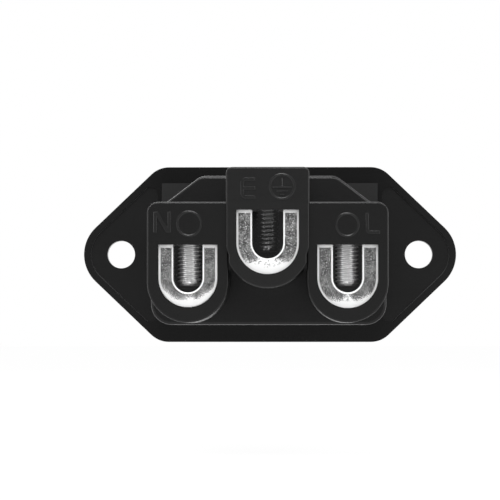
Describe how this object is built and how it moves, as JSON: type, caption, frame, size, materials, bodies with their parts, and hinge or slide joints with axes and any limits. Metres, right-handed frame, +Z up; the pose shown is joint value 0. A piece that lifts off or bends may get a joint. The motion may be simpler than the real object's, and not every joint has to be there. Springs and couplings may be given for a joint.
{
  "type": "c14 panel inlet socket",
  "caption": "Flanged panel inlet with blade pins in a shouldered mouth, and towers behind it that hold U-shaped wire clamps with screws.",
  "frame": {"origin": "midway between the two fixing holes, on the back face of the flange that sits on the panel", "axes": "+X across the panel towards the neutral terminal, +Y backwards out of the terminals, +Z up towards the earth pin"},
  "size_m": [0.05, 0.0333, 0.0234],
  "materials": {
    "black_plastic": "black moulded plastic, satin",
    "plated_brass": "bright plated strip with rough sheared edges",
    "screw_steel": "bright zinc plated",
    "dark_screw_steel": "darkened steel",
    "nut_steel": "zinc plated"
  },
  "bodies": {
    "housing": {"front_shell": "black_plastic", "terminal_block": "black_plastic", "neutral_contact": "plated_brass", "neutral_nut": "nut_steel", "line_contact": "plated_brass", "line_nut": "nut_steel", "earth_contact": "plated_brass", "earth_nut": "nut_steel"},
    "neutral_screw": {"neutral_screw": "screw_steel"},
    "line_screw": {"line_screw": "screw_steel"},
    "earth_screw": {"earth_screw": "dark_screw_steel"}
  },
  "joints": [
    {"name": "neutral_clamping", "type": "slide", "parent": "housing", "child": "neutral_screw", "axis": [0, 0, 1], "range_m": [-0.0005, 0.0045]},
    {"name": "line_clamping", "type": "slide", "parent": "housing", "child": "line_screw", "axis": [0, 0, 1], "range_m": [-0.0005, 0.0045]},
    {"name": "earth_clamping", "type": "slide", "parent": "housing", "child": "earth_screw", "axis": [0, 0, 1], "range_m": [-0.0005, 0.0045]}
  ]
}
